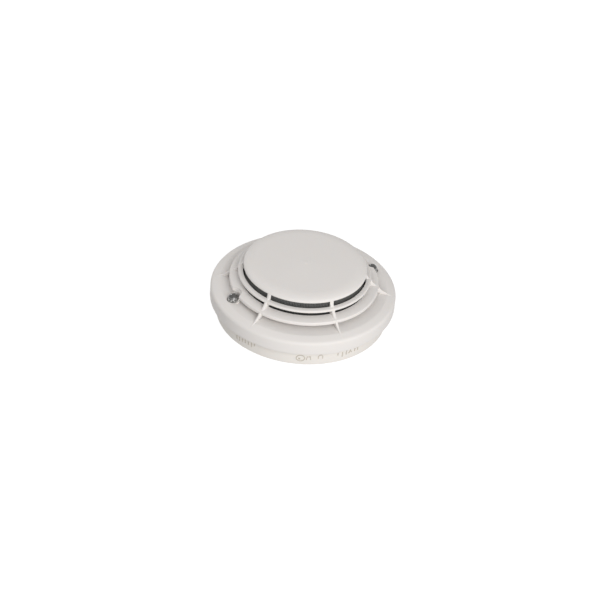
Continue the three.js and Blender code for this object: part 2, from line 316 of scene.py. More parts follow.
def extruded(outline, bottom, top):
    """A bmesh of a closed outline of (x, y) points between two heights."""
    solid = bmesh.new()
    low = [solid.verts.new((x, y, bottom)) for x, y in outline]
    high = [solid.verts.new((x, y, top)) for x, y in outline]
    solid.faces.new(low[::-1])
    solid.faces.new(high)
    for i in range(len(outline)):
        j = (i + 1) % len(outline)
        solid.faces.new((low[i], low[j], high[j], high[i]))
    return solid


def plug(radius, bottom, top, sides=32):
    """A plain round plug on the axis, mostly to bore a hole with."""
    return turned([(0, bottom), (radius, bottom), (radius, top), (0, top)], sides)


def moved(solid, x, y, z=0):
    bmesh.ops.translate(solid, vec=(x, y, z), verts=solid.verts)
    return solid


def swung(solid, angle, axis="Z"):
    """Turns a bmesh about an axis of the detector, by an angle in radians."""
    bmesh.ops.rotate(solid, cent=(0, 0, 0), matrix=Matrix.Rotation(angle, 3, axis), verts=solid.verts)
    return solid


def eased(solid, edges, size):
    bmesh.ops.bevel(solid, geom=edges, offset=size, segments=2, profile=0.5, affect="EDGES")
    return solid


def rectangle(width, depth):
    x, y = width / 2, depth / 2
    return [(-x, -y), (x, -y), (x, y), (-x, y)]


def rounded_block(width, depth, bottom, top, edge=0.15, at=(0, 0)):
    """A block with softened edges, centred on a point."""
    solid = extruded(rectangle(width, depth), bottom, top)
    return moved(eased(solid, solid.edges[:], edge), *at)


def arc(across, up, start, end, steps, centre=(0, 0)):
    """Points on an ellipse between two angles in degrees, from its half-widths."""
    angles = [math.radians(start + (end - start) * k / steps) for k in range(steps + 1)]
    return [(centre[0] + across * math.cos(a), centre[1] + up * math.sin(a)) for a in angles]


def sector(inner, outer, start, end, step=2.0):
    """The outline of a flat ring's sector between two angles in degrees."""
    count = max(1, round((end - start) / step))
    return arc(outer, outer, start, end, count) + arc(inner, inner, start, end, count)[::-1]


def shifted(solid, radius, angle=0):
    """Moves a bmesh made on the axis out to a radius and round to an angle in degrees."""
    return swung(moved(solid, radius, 0), math.radians(angle))


def gathered(*solids):
    """Several bmeshes as one."""
    whole = bmesh.new()
    for solid in solids:
        carrier = bpy.data.meshes.new("carrier")
        solid.to_mesh(carrier)
        whole.from_mesh(carrier)
        solid.free()
        bpy.data.meshes.remove(carrier)
    return whole


def carved(piece, solid, operation="DIFFERENCE"):
    """Cuts a bmesh away from a piece, for good."""
    tool = add_piece("tool", solid)
    step = piece.modifiers.new("carve", "BOOLEAN")
    step.operation = operation
    step.solver = "EXACT"
    step.object = tool
    settled(piece)
    bpy.data.objects.remove(tool)
    return piece


def joined(piece, solid):
    """Makes a bmesh one with a piece, for good."""
    return carved(piece, solid, "UNION")


def settled(piece):
    """Turns a piece's modifiers into plain mesh."""
    view = bpy.context.evaluated_depsgraph_get()
    mesh = bpy.data.meshes.new_from_object(piece.evaluated_get(view))
    piece.modifiers.clear()
    spare = piece.data
    piece.data = mesh
    bpy.data.meshes.remove(spare)
    mesh.name = piece.name
    shade(piece)


def round_copies_tree():
    """Geometry Nodes: copies of a piece, each turned about Z and lifted by a fixed step, as one mesh."""
    tree = bpy.data.node_groups.new("round_copies", "GeometryNodeTree")
    face = tree.interface
    face.new_socket("Geometry", in_out="INPUT", socket_type="NodeSocketGeometry")
    for label, kind in (("Count", "Int"), ("First", "Float"), ("Step", "Float"), ("Lift", "Float"),
                        ("Finish", "Material")):
        face.new_socket(label, in_out="INPUT", socket_type="NodeSocket" + kind)
    face.new_socket("Geometry", in_out="OUTPUT", socket_type="NodeSocketGeometry")

    def node(kind, operation=None, **links):
        made = tree.nodes.new(kind)
        if operation:
            made.operation = operation
        for socket, source in links.items():
            key = int(socket[1:]) if socket[1:].isdigit() else socket.replace("_", " ")
            tree.links.new(source, made.inputs[key])
        return made.outputs[0]

    source = tree.nodes.new("NodeGroupInput").outputs
    number = node("GeometryNodeInputIndex")
    height = node("ShaderNodeMath", "MULTIPLY", _0=number, _1=source["Lift"])
    place = node("ShaderNodeCombineXYZ", Z=height)
    points = node("GeometryNodePoints", Count=source["Count"], Position=place)
    turned_by = node("ShaderNodeMath", "MULTIPLY", _0=number, _1=source["Step"])
    angle = node("ShaderNodeMath", "ADD", _0=turned_by, _1=source["First"])
    copies = node("GeometryNodeInstanceOnPoints", Points=points, Instance=source["Geometry"],
                  Rotation=node("ShaderNodeCombineXYZ", Z=angle))
    real = node("GeometryNodeRealizeInstances", Geometry=copies)
    coloured = node("GeometryNodeSetMaterial", Geometry=real, Material=source["Finish"])
    tree.links.new(coloured, tree.nodes.new("NodeGroupOutput").inputs["Geometry"])
    return tree


ROUND_COPIES = round_copies_tree()


def round_copies(piece, count, first=0.0, step=None, lift=0.0, finish=None):
    """Repeats a piece round the detector's axis, or up it. Angles are in degrees."""
    turn = 360 / count if step is None else step
    inputs = {"Count": count, "First": math.radians(first), "Step": math.radians(turn), "Lift": lift * MM,
              "Finish": finish}
    modifier = piece.modifiers.new("round", "NODES")
    modifier.node_group = ROUND_COPIES
    for item in ROUND_COPIES.interface.items_tree:
        if item.in_out == "INPUT" and item.name in inputs:
            modifier[item.identifier] = inputs[item.name]
    settled(piece)
    return piece


def as_solid(piece):
    """Takes a piece back out of the scene as a bmesh in millimetres."""
    solid = bmesh.new()
    solid.from_mesh(piece.data)
    bmesh.ops.scale(solid, vec=(1 / MM, 1 / MM, 1 / MM), verts=solid.verts)
    bpy.data.objects.remove(piece)
    return solid


def repeated(solid, count, first=0.0):
    """A bmesh repeated round the axis, as one bmesh."""
    return as_solid(round_copies(add_piece("unit", solid), count, first))


def finished(piece, body, slot, *nodes):
    """The frame calls of a finished piece: its body and the design nodes it stands for. The slot is not
    used.
    """
    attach(piece, body)
    if nodes:
        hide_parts(*nodes)


def numbered(name, count):
    """The design nodes of a set of like pieces."""
    return [f"{name}_{n}" for n in range(1, count + 1)]


base_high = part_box("mounting_base")[1]
BASE_RADIUS = base_high.x / MM
BASE_RIM = base_high.z / MM
BASE_DRAFT = 0.4  # how much narrower the wall is at the ceiling
BASE_WALL = 2.0
BASE_FLOOR = 2.0
BASE_INNER = BASE_RADIUS - BASE_WALL
CABLE_ENTRY = 20.0
TERMINALS = 4
TERMINAL_FIRST = 45.0
SCREW_TURN = -18.0  # from a terminal's middle to its screw, in degrees
TERMINAL_RADIUS = 33.0
SHANK_HOLE = 1.8
SEAT = (29.5, 36.5, -25, 18)  # inner and outer radius, start and end in degrees
SEAT_TOP = 3.2
FIXING_RADIUS = 30.0  # where the middle of a ceiling screw's slot lies
FIXING_HALF_WIDTH, FIXING_HALF_RUN = 2.3, 4.7
LUGS = 3
LUG_FIRST = 90.0
SPIGOT_RADIUS = 43.3
LEDGE = (0.5, -10, 10, 6.2, 7.8)  # gap round the spigot, start and end in degrees, bottom and top
LOCKED_STOP = (0.6, -10, -8, 1, 6.9)
FREE_STOP = (0.6, 26, 28, 1, 5.9)
MARK_SUNK, MARK_PROUD = 0.3, 0.22

ivory_base = ivory_moulding("ivory_base", (0.85, 0.81, 0.765), (0.825, 0.785, 0.735))


def fixing_slots():
    """The two long holes for the ceiling screws."""
    half, run = FIXING_HALF_WIDTH, FIXING_HALF_RUN
    outline = arc(half, half, 90, 270, 16, (-run, 0)) + arc(half, half, -90, 90, 16, (run, 0))
    return [shifted(extruded(outline, -1, BASE_FLOOR + 1), FIXING_RADIUS, angle) for angle in (0, 180)]


def wall_mark(outline, angle, height=4.6, hole=None):
    """A raised mark on the base's wall, from an outline in millimetres across and up the wall."""
    solid = bmesh.new()
    rings = []
    for edge in [outline] if hole is None else [outline, hole]:
        for lift in (-MARK_SUNK, MARK_PROUD):
            ring = []
            for across, up in edge:
                radius = BASE_RADIUS - BASE_DRAFT * max(0, 1 - (height + up) / (HEAD_FOOT - 1)) + lift
                bend = math.radians(angle) + across / BASE_RADIUS
                ring.append(solid.verts.new((radius * math.cos(bend), radius * math.sin(bend), height + up)))
            rings.append(ring)
    loops = [(rings[0], rings[1])]
    if hole is None:
        solid.faces.new(rings[0][::-1])
        solid.faces.new(rings[1])
    else:
        loops += [(rings[3], rings[2]), (rings[1], rings[3]), (rings[2], rings[0])]
    for inner, outer in loops:
        for i in range(len(inner)):
            j = (i + 1) % len(inner)
            solid.faces.new((inner[i], inner[j], outer[j], outer[i]))
    return solid


def bar(width, height, up=0.0, lean=0.0):
    """The outline of a straight mark, leaning by some millimetres from foot to head."""
    x, y, half = width / 2, height / 2, lean / 2
    return [(-x - half, up - y), (x - half, up - y), (x + half, up + y), (half - x, up + y)]


def ellipse(width, height, points=28):
    return arc(width / 2, height / 2, 0, 360, points)[:-1]


def base_marks():
    """Generic assembly marks: an oval with a dot, arches, an arrow, and ticks at the front and left."""
    marks = [
        wall_mark(ellipse(5.0, 4.4), -85.7, hole=ellipse(4.0, 3.4)),
        wall_mark(ellipse(1.1, 1.1, 16), -86.4, 4.2),
        wall_mark(bar(0.45, 2.2, lean=0.5), -81.6),
        wall_mark(bar(2.0, 0.45, up=1.0), -80.4, 4.7),
        wall_mark(bar(0.45, 2.2, lean=-0.3), -79.2),
    ]
    arch = [(-1.4, -1.3), (-0.9, -1.3), (-0.9, 0.2), (-0.4, 0.8), (0.4, 0.8), (0.9, 0.2), (0.9, -1.3),
            (1.4, -1.3), (1.4, 0.5), (0.6, 1.35), (-0.6, 1.35), (-1.4, 0.5)]
    marks.append(wall_mark(arch, -72.7, 5.5))
    arrow = [(-1.3, -0.9), (0, 1.3), (1.3, -0.9), (0.6, -0.9), (0, 0.2), (-0.6, -0.9)]
    marks.append(wall_mark(arrow, -51.6, 5.2))
    ticks = [(-60.8, 5.6, 1.9), (-57.5, 4.6, 3.0), (-54.6, 5.4, 3.2), (-48.0, 5.2, 2.2),
             (-45.6, 5.2, 2.2), (-132.2, 4.4, 2.4), (-129.6, 4.4, 2.6), (-127.0, 4.8, 2.2),
             (-124.6, 5.2, 2.6), (-121.9, 5.0, 2.2), (-119.4, 5.2, 3.2), (-117.2, 5.8, 1.6)]
    marks += [wall_mark(bar(0.6, length), angle, height) for angle, height, length in ticks]
    # The marks are coloured darker than the wall: painted shade standing in for the shading round their
    # relief.
    relief_shade = ivory_moulding("mark_painted_shade", (0.66, 0.61, 0.54), (0.56, 0.52, 0.45))
    return add_piece("assembly_marks", gathered(*marks), relief_shade)


def make_base():
    base = add_piece("wiring_base", turned([
        (CABLE_ENTRY, 0, 0.3),
        (BASE_RADIUS - BASE_DRAFT, 0, 0.5),
        (BASE_RADIUS, HEAD_FOOT - 1),
        (BASE_RADIUS, BASE_RIM, 0.4),
        (BASE_INNER, BASE_RIM, 0.4),
        (BASE_INNER, BASE_FLOOR, 0.5),
        (CABLE_ENTRY, BASE_FLOOR, 0.3),
    ]), ivory_base)
    for gap, start, end, bottom, top in (LEDGE, LOCKED_STOP, FREE_STOP):
        block = extruded(sector(SPIGOT_RADIUS + gap, BASE_INNER + 0.5, start, end), bottom, top)
        joined(base, repeated(block, LUGS, LUG_FIRST))
    joined(base, repeated(extruded(sector(*SEAT), 1, SEAT_TOP), TERMINALS, TERMINAL_FIRST))
    bore = shifted(plug(SHANK_HOLE, -1, 5), TERMINAL_RADIUS, SCREW_TURN)
    carved(base, repeated(bore, TERMINALS, TERMINAL_FIRST))
    return carved(base, gathered(*fixing_slots()))


finished(make_base(), "base", "ivory_plastic", "mounting_base")
finished(base_marks(), "base", "ivory_plastic")


# ----------
# The terminals: four bronze strips stamped from sheet, each under a square steel clamp plate and held by a
# cross-slotted screw that pinches the loop wire. The strips are also what the head's blades wipe on.
STRIP = (30.5, 35.5, -23.5, 17)
STRIP_BOTTOM, STRIP_TOP = 3.5, 4.3
PLATE_BOTTOM, PLATE_TOP = 4.6, 5.6
PLATE_SIZE = 6.4
SCREW_HEAD_BOTTOM, SCREW_HEAD_TOP = 5.9, 7.5
SCREW_HEAD_RADIUS = 3.0
SHANK_RADIUS = 1.5


def rolled_metal(name, colour, shade_colour, roughness):
    """Bare metal sheet or wire: fine rolling scratches, and a dull bloom here and there."""
    finish = Finish(name, {"Metallic": 1.0})
    bloom = finish.noise(3.5, 3)
    scratches = finish.noise(0.12, 3, 0.7)
    tone = finish.blend(bloom, colour, shade_colour)
    return finish.wear(tone, roughness + 0.22 * bloom * scratches, scratches, 0.004)


bronze = rolled_metal("rolled_bronze", (0.72, 0.53, 0.26), (0.58, 0.41, 0.19), 0.28)
zinc = rolled_metal("bright_zinc", (0.66, 0.67, 0.69), (0.52, 0.53, 0.55), 0.24)


def softened_plate(outline, bottom, top, edge=0.12):
    """A plate cut from an outline, with its upper and lower rims softened."""
    solid = extruded(outline, bottom, top)
    rims = [e for e in solid.edges if abs(e.verts[0].co.z - e.verts[1].co.z) < 0.01]
    return eased(solid, rims, edge)


def make_strips():
    strip = add_piece("terminal_strips", softened_plate(sector(*STRIP), STRIP_BOTTOM, STRIP_TOP))
    carved(strip, shifted(plug(SHANK_HOLE, 1, 7, 40), TERMINAL_RADIUS, SCREW_TURN))
    return round_copies(strip, TERMINALS, TERMINAL_FIRST, finish=bronze)


def make_clamp_plates():
    square = rectangle(PLATE_SIZE, PLATE_SIZE)
    plate = add_piece("clamp_plates", softened_plate(square, PLATE_BOTTOM, PLATE_TOP, 0.2))
    carved(plate, plug(SHANK_HOLE, 1, 7, 40))
    grooves = [rounded_block(0.5, PLATE_SIZE + 1, PLATE_BOTTOM - 0.4, PLATE_BOTTOM + 0.25, 0.05, (x, 0))
               for x in (-2.5, 2.5)]
    carved(plate, gathered(*grooves))
    placed = add_piece("clamp_plates", shifted(as_solid(plate), TERMINAL_RADIUS, SCREW_TURN))
    return round_copies(placed, TERMINALS, TERMINAL_FIRST, finish=zinc)


def screw(radius, head_bottom, head_top, shank_radius, tip, slot_width):
    """A pan-head screw on the axis: domed head with a cross slot, and a shank with thread ridges."""
    pitch = shank_radius * 0.47
    height = head_top - head_bottom
    outline = [(0, tip), (shank_radius * 0.6, tip)]
    level = tip + pitch
    while level < head_bottom - pitch:
        outline += [(shank_radius, level), (shank_radius * 0.82, level + pitch / 2)]
        level += pitch
    outline += [(shank_radius, head_bottom), (radius - 0.1, head_bottom), (radius, head_bottom + 0.15),
                (radius, head_bottom + height * 0.45, 0.3), (radius * 0.72, head_top, 0.6), (0, head_top)]
    made = add_piece("screw", turned(outline, 48, 4))
    carved(made, rounded_block(2 * radius + 2, slot_width, head_top - height * 0.55, head_top + 1, 0.05))
    carved(made, rounded_block(radius * 0.42, radius * 1.1, head_top - height * 0.6, head_top + 1.1, 0.05))
    return as_solid(made)


finished(make_strips(), "base", "contact_bronze", *numbered("terminal_strip", TERMINALS))
finished(make_clamp_plates(), "base", "plated_steel", *numbered("clamp_plate", TERMINALS))

terminal_screw = screw(SCREW_HEAD_RADIUS, SCREW_HEAD_BOTTOM, SCREW_HEAD_TOP, SHANK_RADIUS, 0.4, 0.8)
terminal_screws = add_piece("terminal_screws", shifted(terminal_screw, TERMINAL_RADIUS, SCREW_TURN))
round_copies(terminal_screws, TERMINALS, TERMINAL_FIRST, finish=zinc)
finished(terminal_screws, "base", "plated_steel", *numbered("terminal_screw", TERMINALS))


# ----------
# The lower housing: an ivory moulding that closes the back of the head. A round plate with a deep spigot,
# three lugs that lock under the base's ledges, bosses for the board's screws, slits for the contact blades
# and two round holes for the address dials, each with ten raised ticks round it.
plate_low, flange_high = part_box("lower_housing")
SPIGOT_FOOT = plate_low.z / MM
FLANGE_TOP = flange_high.z / MM
FLANGE_BOTTOM = FLANGE_TOP - 1.8
FLANGE_RADIUS = flange_high.x / MM
PLATE_LEVEL = HEAD_FOOT - 0.5
PLATE_THICKNESS = 1.6
SPIGOT_INNER = SPIGOT_RADIUS - 1.6
LUG_TOP = 5.9
BOARD_BOTTOM = HEAD_FOOT + 4.7
BOARD_TOP = BOARD_BOTTOM + 1.6
BOARD_SCREWS = 3
BOARD_SCREW_RADIUS = 33.0
BOARD_SCREW_HOLE = 1.3
BOSS_RADIUS = 2.6
BLADE_TURN = -4.0  # from a terminal's middle to the blade at rest, in degrees
DIAL_PLACES = ((-8, -12), (8, -12))
DIAL_RADIUS = 3.4
DIAL_TICKS = 10
CLEARANCE = 0.3

ivory_housing = ivory_moulding("ivory_housing", (0.79, 0.755, 0.715), (0.765, 0.73, 0.69))


def make_lower_housing():
    housing = add_piece("housing_moulding", turned([
        (0, PLATE_LEVEL),
        (SPIGOT_INNER, PLATE_LEVEL, 0.4),
        (SPIGOT_INNER, SPIGOT_FOOT, 0.3),
        (SPIGOT_RADIUS, SPIGOT_FOOT, 0.3),
        (SPIGOT_RADIUS, FLANGE_BOTTOM, 0.3),
        (FLANGE_RADIUS, FLANGE_BOTTOM, 0.3),
        (FLANGE_RADIUS, FLANGE_TOP, 0.3),
        (SPIGOT_INNER, FLANGE_TOP, 0.3),
        (SPIGOT_INNER, PLATE_LEVEL + PLATE_THICKNESS, 0.3),
        (0, PLATE_LEVEL + PLATE_THICKNESS),
    ], 144, 3), ivory_housing)
    lug = softened_plate(sector(SPIGOT_RADIUS - 0.8, BASE_INNER - 0.5, -7, 7), SPIGOT_FOOT, LUG_TOP, 0.2)
    joined(housing, repeated(lug, LUGS, LUG_FIRST))
    foot = PLATE_LEVEL + PLATE_THICKNESS - 0.5
    top = BOARD_BOTTOM - CLEARANCE
    boss = turned([(0, foot), (BOSS_RADIUS, foot), (BOSS_RADIUS, top, 0.2), (0, top)], 32)
    joined(housing, repeated(shifted(boss, BOARD_SCREW_RADIUS), BOARD_SCREWS))
    bore = plug(BOARD_SCREW_HOLE, foot - 0.1, BOARD_TOP)
    carved(housing, repeated(shifted(bore, BOARD_SCREW_RADIUS), BOARD_SCREWS))
    slit = rounded_block(1.8, 5.8, PLATE_LEVEL - 1, PLATE_LEVEL + 3, 0.2)
    carved(housing, repeated(shifted(slit, TERMINAL_RADIUS, BLADE_TURN), TERMINALS, TERMINAL_FIRST))
    hole_radius = DIAL_RADIUS + CLEARANCE
    for place in DIAL_PLACES:
        carved(housing, moved(plug(hole_radius, PLATE_LEVEL - 1, PLATE_LEVEL + 3, 64), *place))
        tick = rounded_block(1.1, 0.4, PLATE_LEVEL - 0.2, PLATE_LEVEL + 0.4, 0.08)
        joined(housing, moved(repeated(shifted(tick, hole_radius + 1), DIAL_TICKS), *place))
    return housing


finished(make_lower_housing(), "head", "ivory_plastic", "lower_housing")


# ----------
# The contact blades: four bronze strips bent to a foot, pushed through the housing's slits and soldered to
# the board. Their feet wipe along the base's strips as the head is turned home.
BLADE_FOOT = 4.6
BLADE_WIDTH = 5.0
BLADE_GAUGE = 1.0


def make_blades():
    half = BLADE_GAUGE / 2
    reach, turn_up, gauge = 2.0, 0.9, 0.8
    profile = softened([
        (-reach, BLADE_FOOT + 0.35),
        (-reach + turn_up, BLADE_FOOT, 0.3),
        (reach - turn_up, BLADE_FOOT, 0.3),
        (reach, BLADE_FOOT + 0.35),
        (reach, BLADE_FOOT + gauge),
        (half, BLADE_FOOT + gauge, 0.2),
        (half, BOARD_BOTTOM - CLEARANCE, 0.15),
        (-half, BOARD_BOTTOM - CLEARANCE, 0.15),
        (-half, BLADE_FOOT + gauge, 0.2),
        (-reach, BLADE_FOOT + gauge),
    ], 3)
    solid = swung(extruded(profile, -BLADE_WIDTH / 2, BLADE_WIDTH / 2), math.pi / 2, "X")
    blades = add_piece("contact_blades", shifted(solid, TERMINAL_RADIUS, BLADE_TURN))
    return round_copies(blades, TERMINALS, TERMINAL_FIRST, finish=bronze)


finished(make_blades(), "head", "contact_bronze", *numbered("contact_blade", TERMINALS))


# ----------
# The address switches: two black rotary switches on the back of the board. Each has an off-white dial with
# an arrow-shaped slot, turned from behind with a small screwdriver.
SWITCH_SIZE = 9.0
DIAL_BOTTOM, DIAL_TOP = PLATE_LEVEL + 0.2, PLATE_LEVEL + PLATE_THICKNESS
DIAL_BODIES = ("address_dial_tens", "address_dial_units")


def moulded_black(name, tone, roughness):
    """Matt black plastic or epoxy with a fine sparkle of mould texture."""
    finish = Finish(name, {"IOR": 1.48})
    texture = finish.noise(0.25, 3)
    clouds = finish.noise(6, 2)
    dark = (tone, tone, tone * 1.05)
    pale = [c * 2 for c in dark]
    return finish.wear(finish.blend(clouds * 0.5, dark, pale), roughness + 0.2 * texture, texture, 0.01)


epoxy = moulded_black("black_epoxy", 0.012, 0.38)
dial_white = ivory_moulding("dial_white", (0.80, 0.795, 0.775), (0.76, 0.755, 0.735))

for number, place in enumerate(DIAL_PLACES, 1):
    low, high = DIAL_TOP + CLEARANCE, BOARD_BOTTOM - CLEARANCE
    case = rounded_block(SWITCH_SIZE, SWITCH_SIZE, low, high, 0.25, place)
    case = add_piece(f"switch_case_{number}", case, epoxy)
    finished(case, "head", "component_black", f"address_switch_{number}")

    dial = add_piece(f"dial_{number}", turned([
        (0, DIAL_BOTTOM), (DIAL_RADIUS, DIAL_BOTTOM, 0.2), (DIAL_RADIUS, DIAL_TOP), (0, DIAL_TOP),
    ], 96), dial_white)
    arrow = [(-2.5, -0.5), (1.1, -0.5), (1.1, -1.3), (2.7, 0), (1.1, 1.3), (1.1, 0.5), (-2.5, 0.5)]
    carved(dial, extruded(arrow, DIAL_BOTTOM - 1, DIAL_BOTTOM + 0.7))
    dial = add_piece(f"dial_{number}", moved(as_solid(dial), *place), dial_white)
    finished(dial, DIAL_BODIES[number - 1], "dial_plastic", f"address_dial_{number}")


# ----------
# The circuit board: green glass-fibre laminate, cut round, on the housing's three bosses. Its resist shows
# the gaps between copper areas as fine lines, and three steel screws hold it down.
BOARD_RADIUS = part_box("circuit_board")[1].x / MM
BOARD_SCREW_HEAD = 2.2


def laminate():
    """Solder resist over copper: glossy green in small areas, parted by paler lines a hair higher."""
    finish = Finish("green_laminate", {"IOR": 1.52, "Coat Weight": 0.3, "Coat Roughness": 0.15})
    cells = {"Vector": finish.place, "Scale": 1 / (3.6 * MM), "Randomness": 0.55}
    settings = {"feature": "F2", "distance": "CHEBYCHEV"}
    near = finish.node("ShaderNodeTexVoronoi", {**settings, "feature": "F1"}, cells)["Distance"]
    far = finish.node("ShaderNodeTexVoronoi", settings, cells)["Distance"]
    stops = [(0.0, (1, 1, 1, 1)), (0.10, (1, 1, 1, 1)), (0.13, (0, 0, 0, 1)), (1.0, (0, 0, 0, 1))]
    line = finish.node("ShaderNodeValToRGB", {"stops": stops}, {0: far - near})["Color"]
    colour = finish.blend(line, (0.014, 0.10, 0.042), (0.026, 0.15, 0.066))
    return finish.wear(colour, 0.22 + 0.1 * finish.noise(2, 2), line, 0.03)


def make_board():
    board = add_piece("round_board", turned([
        (0, BOARD_BOTTOM), (BOARD_RADIUS, BOARD_BOTTOM, 0.1), (BOARD_RADIUS, BOARD_TOP, 0.1), (0, BOARD_TOP),
    ], 144, 2), laminate())
    bore = plug(BOARD_SCREW_HOLE, BOARD_BOTTOM - 1, BOARD_TOP + 1)
    return carved(board, repeated(shifted(bore, BOARD_SCREW_RADIUS), BOARD_SCREWS))


finished(make_board(), "head", "board_laminate", "circuit_board")

seated = BOARD_TOP + CLEARANCE
board_screw = screw(BOARD_SCREW_HEAD, seated, seated + 1.4, 1.0, PLATE_LEVEL + PLATE_THICKNESS, 0.6)
board_screws = add_piece("board_screws", shifted(board_screw, BOARD_SCREW_RADIUS))
round_copies(board_screws, BOARD_SCREWS, finish=zinc)
finished(board_screws, "head", "plated_steel", *numbered("board_screw", BOARD_SCREWS))


# ----------
# The components on the board: a square microcontroller on gull-wing legs, a block-shaped surge suppressor
# between its end caps, a drawn aluminium capacitor on a black foot and a glass reed switch for testing
# the head with a magnet.
STANDING = BOARD_TOP + CLEARANCE
CHIP_AT, CHIP_SIZE, CHIP_HEIGHT = (17, 10), 9.0, 1.4
LEGS_EACH_SIDE, LEG_PITCH, LEG_WIDTH = 9, 0.8, 0.32
SUPPRESSOR_AT = (-14, 18)
CAPACITOR_AT, CAPACITOR_RADIUS, CAPACITOR_HEIGHT = (4, -20), 2.6, 2.8
REED_AT, REED_RADIUS, REED_LENGTH = (-18, -10), 1.1, 12.2


def make_chip_legs():
    """Gull-wing legs: an upper bar, a shin and a toe each, a row at every side of the chip."""
    row = []
    foot, knee, out = STANDING, STANDING + 0.7, CHIP_SIZE / 2
    for k in range(LEGS_EACH_SIDE):
        y = (k - (LEGS_EACH_SIDE - 1) / 2) * LEG_PITCH
        row += [rounded_block(0.55, LEG_WIDTH, knee - 0.1, knee + 0.08, 0.03, (out + 0.2, y)),
                rounded_block(0.18, LEG_WIDTH, foot, knee + 0.08, 0.03, (out + 0.5, y)),
                rounded_block(0.6, LEG_WIDTH, foot, foot + 0.18, 0.03, (out + 0.8, y))]
    return add_piece("controller_legs", moved(repeated(gathered(*row), 4), *CHIP_AT), zinc)


chip_side = CHIP_SIZE - 0.5
chip = rounded_block(chip_side, chip_side, STANDING + 0.15, STANDING + CHIP_HEIGHT, 0.2, CHIP_AT)
dot = moved(plug(0.4, STANDING + 1.2, STANDING + 3, 24), CHIP_AT[0] - 3.2, CHIP_AT[1] + 3.2)
controller = carved(add_piece("controller", chip, epoxy), dot)
finished(controller, "head", "component_black", "microcontroller")
finished(make_chip_legs(), "head", "plated_steel")

suppressor = rounded_block(4.2, 3.6, STANDING, STANDING + 2.3, 0.3, SUPPRESSOR_AT)
finished(add_piece("suppressor_block", suppressor, epoxy), "head", "component_black", "surge_suppressor")
ends = gathered(*[rounded_block(0.5, 2.2, STANDING, STANDING + 1.2, 0.08, (x, 0)) for x in (-2.35, 2.35)])
finished(add_piece("suppressor_ends", moved(ends, *SUPPRESSOR_AT), zinc), "head", "plated_steel")

aluminium = rolled_metal("drawn_aluminium", (0.78, 0.79, 0.80), (0.66, 0.67, 0.68), 0.2)
can = turned([
    (0, STANDING + 0.5), (CAPACITOR_RADIUS - 0.3, STANDING + 0.5, 0.1),
    (CAPACITOR_RADIUS, STANDING + 0.9, 0.15), (CAPACITOR_RADIUS, STANDING + CAPACITOR_HEIGHT, 0.3),
    (0, STANDING + CAPACITOR_HEIGHT),
], 64)
can = add_piece("capacitor_can", moved(can, *CAPACITOR_AT), aluminium)
finished(can, "head", "capacitor_can", "reservoir_capacitor")
foot_block = rounded_block(5.2, 5.2, STANDING, STANDING + 0.5, 0.12, CAPACITOR_AT)
finished(add_piece("capacitor_foot", foot_block, epoxy), "head", "component_black")


def clear_glass():
    finish = Finish("reed_glass", {"Transmission Weight": 0.85, "IOR": 1.5})
    smears = finish.noise(1.8, 3)
    return finish.wear(finish.blend(smears, (0.80, 0.90, 0.84), (0.72, 0.81, 0.756)), 0.05 + 0.06 * smears)


end = REED_LENGTH / 2
tube = turned([(0, -end), (REED_RADIUS, -end, 0.8), (REED_RADIUS, end, 0.8), (0, end)], 32, 6)
reed_glass = moved(swung(tube, math.pi / 2, "Y"), *REED_AT, STANDING + REED_RADIUS)
finished(add_piece("reed_glass", reed_glass, clear_glass()), "head", "switch_glass", "test_reed_switch")


# ----------
# The indicator lamps: a red diode on the board under each lens. The lens is a smoky tinted dome, moulded
# in clear resin and pressed into a round recess of the cover.
SHELF = HEAD_FOOT + 8.7
LAMP_RADIUS = 42.1
LAMP_FIRST = 30.0
LAMPS = 2
LAMP_BORE = 3.5
LENS_RADIUS = LAMP_BORE - CLEARANCE
DIODE_TOP = STANDING + 1.6
LENS_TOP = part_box("lamp_lens_1")[1].z / MM


def smoky_resin():
    """Smoky clear resin, coloured dark: partly its tint, partly painted shade of the dark recess seen
    through the dome. Pale speckles on its lower part are painted glints where the light guide shows through.
    """
    finish = Finish("smoky_resin", {"IOR": 1.49, "Coat Weight": 0.8, "Coat Roughness": 0.05,
                                    "Transmission Weight": 0.15})
    height = finish.node("ShaderNodeSeparateXYZ", None, {"Vector": finish.place})["Z"]
    low = finish.node("ShaderNodeMapRange", None, {"Value": height, "From Min": (SHELF + 2.9) * MM,
                                                   "From Max": (SHELF + 1.7) * MM})["Result"]
    speckle = finish.noise(0.75, 1)
    stops = [(0.0, (0, 0, 0, 1)), (0.46, (0, 0, 0, 1)), (0.56, (1, 1, 1, 1)), (1.0, (1, 1, 1, 1))]
    # painted glints: pale speckles, kept to the lower part of the dome
    painted_glint = finish.node("ShaderNodeValToRGB", {"stops": stops}, {0: speckle})["Color"] * low
    # the dark colour is the resin's tint plus painted shade; the pale colour is the painted glints
    colour = finish.blend(painted_glint, (0.10, 0.098, 0.095), (0.55, 0.54, 0.52))
    return finish.wear(colour, 0.12 + 0.14 * speckle, speckle, 0.12)


def red_resin():
    finish = Finish("red_resin", {"IOR": 1.5, "Transmission Weight": 0.3, "Coat Weight": 0.4})
    depth = finish.noise(0.8, 2)
    return finish.wear(finish.blend(depth, (0.42, 0.03, 0.02), (0.62, 0.07, 0.05)), 0.12 + 0.1 * depth)


diode = turned([(0, STANDING), (1.5, STANDING, 0.05), (1.5, STANDING + 0.35), (1.3, STANDING + 0.35),
                (1.3, DIODE_TOP - 0.4, 0.35), (0.6, DIODE_TOP, 0.2), (0, DIODE_TOP)], 40)
lamp_diodes = add_piece("lamp_diodes", shifted(diode, LAMP_RADIUS))
round_copies(lamp_diodes, LAMPS, LAMP_FIRST, finish=red_resin())
finished(lamp_diodes, "head", "diode_red", *numbered("lamp_diode", LAMPS))

